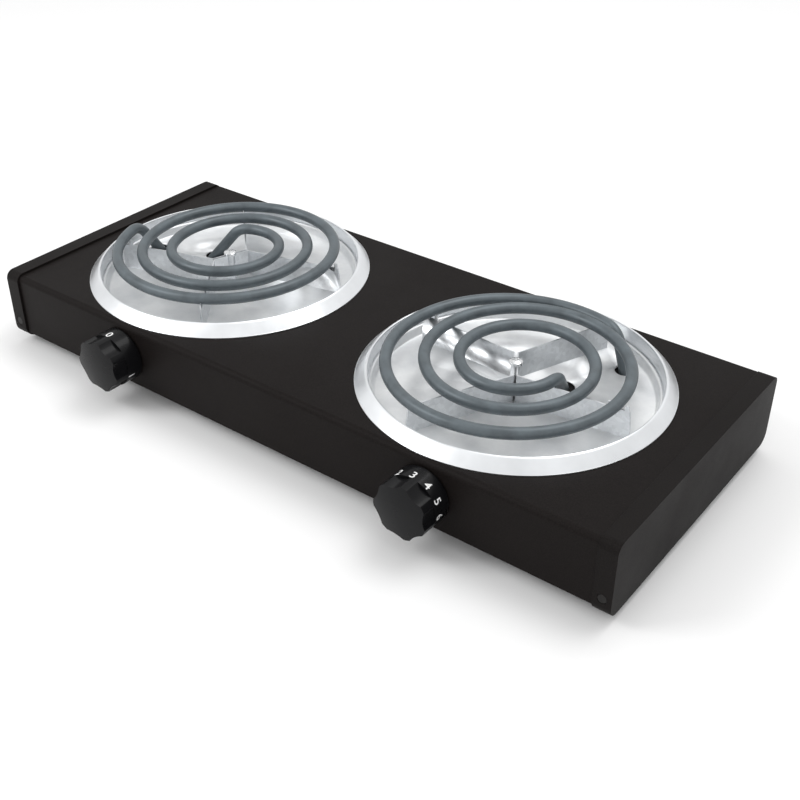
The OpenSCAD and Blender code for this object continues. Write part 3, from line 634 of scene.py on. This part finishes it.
class HOTPLATE_OT_drip_bowls(Operator):
    """Bright bowls under the coils, with holes for the coil's legs and the screw"""
    bl_idname = "hotplate.drip_bowls"
    bl_label = "Drip bowls"

    def execute(self, context):
        s = sizes()
        rim = ledge_height() + 2 * s.sheet
        for side in SIDES:
            at = BURNERS[side] - UP * s.bowl_depth
            bm = bmesh.new()
            bmesh.ops.create_circle(
                bm, cap_ends=False, radius=s.bowl_floor, segments=s.round_steps,
                matrix=Matrix.Translation(at))
            edge = list(bm.edges)
            for outer in (False, True):
                high = leg_through(side, outer, at.z + s.tube / 4)
                low = leg_through(side, outer, at.z - s.sheet - s.tube / 4)
                centre = (high + low) / 2
                centre.z = at.z
                hole = s.tube / 2 + LEG_ROOM + (high - low).xy.length / 2
                bmesh.ops.create_circle(
                    bm, cap_ends=False, radius=hole, segments=48, matrix=Matrix.Translation(centre))
            bmesh.ops.create_circle(
                bm, cap_ends=False, radius=SCREW_HOLE_R, segments=24, matrix=Matrix.Translation(at))
            bmesh.ops.triangle_fill(bm, use_beauty=True, edges=list(bm.edges), normal=UP)
            for inside in (RIM_FROM, RIM_TO):
                made = bmesh.ops.extrude_edge_only(bm, edges=edge)["geom"]
                verts = made_of(made, bmesh.types.BMVert)
                grow = (s.ring_crest - inside) / (verts[0].co - at).xy.length
                bmesh.ops.scale(bm, vec=(grow, grow, 1), space=Matrix.Translation(-at), verts=verts)
                bmesh.ops.translate(bm, vec=UP * (TOP_Z + rim - verts[0].co.z), verts=verts)
                edge = [e for e in made_of(made, bmesh.types.BMEdge) if all(v in verts for v in e.verts)]
            bmesh.ops.recalc_face_normals(bm, faces=bm.faces)
            if sum(f.normal.z for f in bm.faces) < 0:
                bmesh.ops.reverse_faces(bm, faces=bm.faces)
            soften(bm, 1.2 * MM, 4, 20)
            bright = bright_bowl(f"Bright bowl {side}", chosen("bowl"), at)
            bowl = finished(bm, f"{side.capitalize()}_drip_bowl", bright,
                            replaces=[f"{side}_drip_bowl"], weighted=False)
            wall = bowl.modifiers.new("Sheet", "SOLIDIFY")
            wall.thickness = s.sheet
            wall.offset = -1
        return {"FINISHED"}


class HOTPLATE_OT_heating_coils(Operator):
    """Spiral heating tubes"""
    bl_idname = "hotplate.heating_coils"
    bl_label = "Heating coils"

    def execute(self, context):
        sheath = heated_sheath("Heated sheath", chosen("tube"))
        for side in SIDES:
            finished(tube_mesh(side), f"{side.capitalize()}_heating_coil", sheath,
                     replaces=[f"{side}_heating_coil"], smooth_below=60, weighted=False)
        return {"FINISHED"}


class HOTPLATE_OT_brackets(Operator):
    """Bent strips that carry the coils"""
    bl_idname = "hotplate.brackets"
    bl_label = "Brackets"

    def execute(self, context):
        zinc = galvanised("Galvanised strip", chosen("zinc"))
        for side in SIDES:
            for letter in "ab":
                dressed(f"{side}_bracket_strip_{letter}", zinc, 0.12 * MM, 1)
        return {"FINISHED"}


class HOTPLATE_OT_screws(Operator):
    """Centre screws and the fasteners of caps, feet and base"""
    bl_idname = "hotplate.screws"
    bl_label = "Screws"

    def execute(self, context):
        bright = plated("Plated screw", (0.78, 0.79, 0.80), 0.2)
        for side in SIDES:
            dressed(f"{side}_centre_screw", bright, 0.22 * MM, 3)
        plain = plated("Plain screw", PLAIN_ZINC, 0.3)
        for node in ("foot_screws", "base_screws"):
            dressed(node, plain, 0.25 * MM)
        dark = plated("Blackened screw", (0.035, 0.034, 0.033), 0.38)
        dressed("cap_screws", dark, 0.25 * MM)
        return {"FINISHED"}


class HOTPLATE_OT_knobs(Operator):
    """Glossy dials"""
    bl_idname = "hotplate.knobs"
    bl_label = "Knobs"

    def execute(self, context):
        gloss = moulded("Dial plastic", chosen("knob"), 0.3, shine=0.12, gloss=0.08, grain=500)
        for side in SIDES:
            dressed(f"{side}_knob", gloss, 1.1 * MM, 5, 18, f"{side}_dial")
        return {"FINISHED"}


def flat_digit(text, height):
    """A digit as flat faces, centred on the origin, cut into narrow upright bands."""
    curve = bpy.data.curves.new("digit", "FONT")
    curve.body = text
    curve.size = height * 1.36
    curve.align_x = "CENTER"
    curve.offset = height * 0.012
    holder = bpy.data.objects.new("digit", curve)
    bpy.context.scene.collection.objects.link(holder)
    bpy.context.view_layer.update()
    mesh = bpy.data.meshes.new_from_object(holder.evaluated_get(bpy.context.evaluated_depsgraph_get()))
    bpy.data.objects.remove(holder)
    bpy.data.curves.remove(curve)
    bm = bmesh.new()
    bm.from_mesh(mesh)
    bpy.data.meshes.remove(mesh)
    bmesh.ops.translate(bm, vec=(0, -height / 2, 0), verts=bm.verts)
    for k in range(-6, 7):
        bmesh.ops.bisect_plane(
            bm, geom=list(bm.verts) + list(bm.edges) + list(bm.faces),
            plane_co=(k * DIGIT_BAND, 0, 0), plane_no=(1, 0, 0))
    return bm


class HOTPLATE_OT_digits(Operator):
    """Printed digits round the dials"""
    bl_idname = "hotplate.digits"
    bl_label = "Digits"

    def execute(self, context):
        ink = moulded("White print", chosen("print_white"), 0.45)
        radius = KNOB_R + 0.02 * MM
        for side in SIDES:
            dial = DIALS[side]
            for text, degrees in SCALE:
                bm = flat_digit(text, sizes().digit)
                at = radians(degrees - TURNED[side])
                for v in bm.verts:
                    angle = at + v.co.x / radius
                    v.co = Vector((
                        dial.x + radius * sin(angle), dial.y - DIGIT_FROM_PANEL + v.co.y,
                        dial.z + radius * cos(angle)))
                digit = finished(bm, f"{side.capitalize()}_dial_digit_{text}", ink,
                                 body=f"{side}_dial", weighted=False)
                skin = digit.modifiers.new("Print", "SOLIDIFY")
                skin.thickness = PRINT_THICK
                skin.offset = 1
        return {"FINISHED"}


class HOTPLATE_OT_feet(Operator):
    """Rubber feet"""
    bl_idname = "hotplate.feet"
    bl_label = "Feet"

    def execute(self, context):
        rubber = moulded("Rubber", (0.018, 0.018, 0.018), 0.75, grain=1300)
        for corner in ("front_left", "front_right", "back_left", "back_right"):
            dressed(f"{corner}_foot", rubber, 0.5 * MM, 3)
        return {"FINISHED"}


class HOTPLATE_OT_inside(Operator):
    """Finishes for the pieces inside the housing"""
    bl_idname = "hotplate.inside"
    bl_label = "Inside"

    def execute(self, context):
        kinds = {
            "inner_steel": galvanised("Inner steel", INNER_STEEL),
            # The ceramic blocks are near-black as painted shade: they stand for the dark seen through
            # the bowls' leg holes.
            "block_ceramic": earthen("Dark ceramic", (0.012, 0.011, 0.011)),
            "screw_steel": plated("Plain screw", PLAIN_ZINC, 0.3),
            "thermostat_steel": plated("Thermostat case", (0.50, 0.48, 0.43), 0.4),
            "lead_cover": earthen("Glass sleeve", (0.50, 0.16, 0.10)),
            "earth_cover": moulded("Earth sleeve", (0.20, 0.42, 0.10), 0.5),
            "earth_brass": plated("Brass", (0.72, 0.52, 0.20), 0.25),
        }
        slots = {s["node"]: s["material_slot"] for s in frame["record"]["subparts"]}
        for node, piece in NODES.items():
            if not piece.hide_render and slots[node] in kinds:
                piece.data.materials.clear()
                piece.data.materials.append(kinds[slots[node]])
        return {"FINISHED"}


class HOTPLATE_OT_stage(Operator):
    """Pale floor, soft light and the camera"""
    bl_idname = "hotplate.stage"
    bl_label = "Stage"

    def execute(self, context):
        scene = context.scene
        bm = bmesh.new()
        bmesh.ops.create_grid(bm, x_segments=1, y_segments=1, size=FLOOR_SIZE)
        mesh = bpy.data.meshes.new("Floor")
        bm.to_mesh(mesh)
        bm.free()
        pale = Finish("Pale floor", chosen("floor"), roughness=0.7, Specular_IOR_Level=0.1)
        mesh.materials.append(pale.material)
        floor = bpy.data.objects.new("Floor", mesh)
        scene.collection.objects.link(floor)

        world = bpy.data.worlds.new("Studio")
        world.use_nodes = True
        world.node_tree.nodes["Background"].inputs["Color"].default_value = (1, 1, 1, 1)
        world.node_tree.nodes["Background"].inputs["Strength"].default_value = WORLD_LIGHT
        scene.world = world

        aim = Vector((0, 0, TOP_Z))
        for name, place, side, power in SOFTBOXES:
            data = bpy.data.lights.new(name, "AREA")
            data.shape = "RECTANGLE"
            data.size, data.size_y = side
            data.energy = power
            lamp = bpy.data.objects.new(name, data)
            lamp.location = place
            lamp.rotation_euler = (aim - Vector(place)).to_track_quat("-Z", "Y").to_euler()
            scene.collection.objects.link(lamp)

        data = bpy.data.cameras.new("Camera")
        data.sensor_width = 36
        data.lens = LENS
        data.clip_start = 0.01
        camera = bpy.data.objects.new("Camera", data)
        pair = (BURNERS["left"] + BURNERS["right"]) / 2
        camera.matrix_world = looking(
            pair + CAMERA_OFFSET, CAMERA_AZIMUTH, CAMERA_ELEVATION, CAMERA_ROLL)
        scene.collection.objects.link(camera)
        scene.camera = camera
        scene.view_settings.view_transform = "Standard"
        return {"FINISHED"}


def looking(place, azimuth, elevation, roll):
    """Camera matrix: azimuth 0 looks along +Y, elevation is above the horizon."""
    back = Vector((sin(azimuth) * cos(elevation), -cos(azimuth) * cos(elevation), sin(elevation)))
    level = Vector((cos(azimuth), sin(azimuth), 0))
    over = back.cross(level)
    right = cos(roll) * level + sin(roll) * over
    matrix = Matrix((right, back.cross(right), back)).transposed().to_4x4()
    matrix.translation = place
    return matrix


class HOTPLATE_PT_sidebar(Panel):
    """Lists the pieces of the hot plate"""
    bl_idname = "HOTPLATE_PT_sidebar"
    bl_label = "Hot plate"
    bl_space_type = "VIEW_3D"
    bl_region_type = "UI"
    bl_category = "Hot plate"

    def draw(self, context):
        for group in (context.scene.hot_plate_sizes, context.scene.hot_plate_colours):
            for name in group.bl_rna.properties.keys():
                if name not in ("rna_type", "name"):
                    self.layout.prop(group, name)
        for kind in PIECES:
            self.layout.operator(kind.bl_idname)


PIECES = (
    HOTPLATE_OT_housing, HOTPLATE_OT_end_caps, HOTPLATE_OT_trim_rings, HOTPLATE_OT_drip_bowls,
    HOTPLATE_OT_heating_coils, HOTPLATE_OT_brackets, HOTPLATE_OT_screws, HOTPLATE_OT_knobs,
    HOTPLATE_OT_digits, HOTPLATE_OT_feet, HOTPLATE_OT_inside, HOTPLATE_OT_stage,
)
CLASSES = (HotPlateSizes, HotPlateColours, *PIECES, HOTPLATE_PT_sidebar)


def register():
    for kind in CLASSES:
        bpy.utils.register_class(kind)
    bpy.types.Scene.hot_plate_sizes = PointerProperty(type=HotPlateSizes)
    bpy.types.Scene.hot_plate_colours = PointerProperty(type=HotPlateColours)


def unregister():
    del bpy.types.Scene.hot_plate_colours
    del bpy.types.Scene.hot_plate_sizes
    for kind in reversed(CLASSES):
        bpy.utils.unregister_class(kind)


def main():
    register()
    for kind in PIECES:
        group, name = kind.bl_idname.split(".")
        getattr(getattr(bpy.ops, group), name)()


if __name__ == "__main__":
    main()
